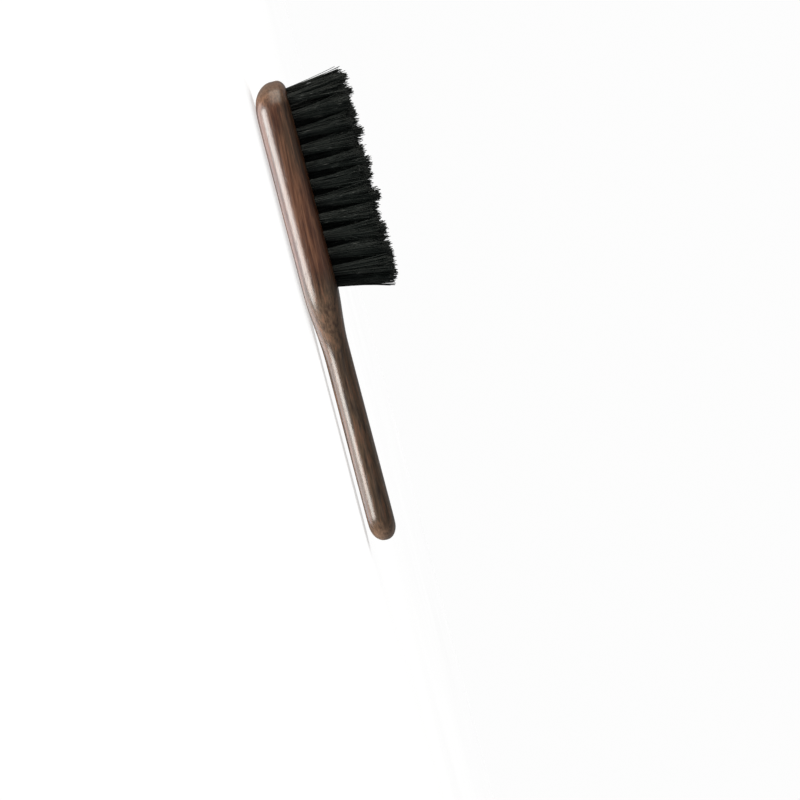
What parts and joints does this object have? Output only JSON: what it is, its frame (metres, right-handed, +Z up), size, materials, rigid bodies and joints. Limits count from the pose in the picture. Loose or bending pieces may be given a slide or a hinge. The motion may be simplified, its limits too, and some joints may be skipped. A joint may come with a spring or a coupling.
{
  "type": "beard brush",
  "caption": "Small beard brush: a wooden head and handle with staggered, slightly fanned tufts of black bristle set in blind holes in its flat face.",
  "frame": {"origin": "under the middle of the brush's outline, on the surface that it lies on", "axes": "the brush lies on its back; +X runs along it from the head's end to the handle's end, +Y across it, +Z up from its back to the bristle tips"},
  "size_m": [0.135, 0.024, 0.028],
  "materials": {
    "wood": "reddish brown hardwood, sanded smooth, satin varnish with a soft gloss",
    "bristle": "black bristle with a satin sheen and bright cut tips"
  },
  "bodies": {
    "root": {"head_and_handle": "wood", "tuft_c1_01": "bristle", "tuft_c1_02": "bristle", "tuft_c1_03": "bristle", "tuft_c1_04": "bristle", "tuft_c1_05": "bristle", "tuft_c1_06": "bristle", "tuft_c1_07": "bristle", "tuft_c1_08": "bristle", "tuft_c1_09": "bristle", "tuft_c1_10": "bristle", "tuft_c1_11": "bristle", "tuft_c2_01": "bristle", "tuft_c2_02": "bristle", "tuft_c2_03": "bristle", "tuft_c2_04": "bristle", "tuft_c2_05": "bristle", "tuft_c2_06": "bristle", "tuft_c2_07": "bristle", "tuft_c2_08": "bristle", "tuft_c2_09": "bristle", "tuft_c2_10": "bristle", "tuft_c2_11": "bristle", "tuft_c2_12": "bristle", "tuft_c3_01": "bristle", "tuft_c3_02": "bristle", "tuft_c3_03": "bristle", "tuft_c3_04": "bristle", "tuft_c3_05": "bristle", "tuft_c3_06": "bristle", "tuft_c3_07": "bristle", "tuft_c3_08": "bristle", "tuft_c3_09": "bristle", "tuft_c3_10": "bristle", "tuft_c3_11": "bristle", "tuft_c4_01": "bristle", "tuft_c4_02": "bristle", "tuft_c4_03": "bristle", "tuft_c4_04": "bristle", "tuft_c4_05": "bristle", "tuft_c4_06": "bristle", "tuft_c4_07": "bristle", "tuft_c4_08": "bristle", "tuft_c4_09": "bristle", "tuft_c4_10": "bristle", "tuft_c4_11": "bristle", "tuft_c4_12": "bristle", "tuft_c5_01": "bristle", "tuft_c5_02": "bristle", "tuft_c5_03": "bristle", "tuft_c5_04": "bristle", "tuft_c5_05": "bristle", "tuft_c5_06": "bristle", "tuft_c5_07": "bristle", "tuft_c5_08": "bristle", "tuft_c5_09": "bristle", "tuft_c5_10": "bristle", "tuft_c5_11": "bristle"}
  },
  "joints": []
}
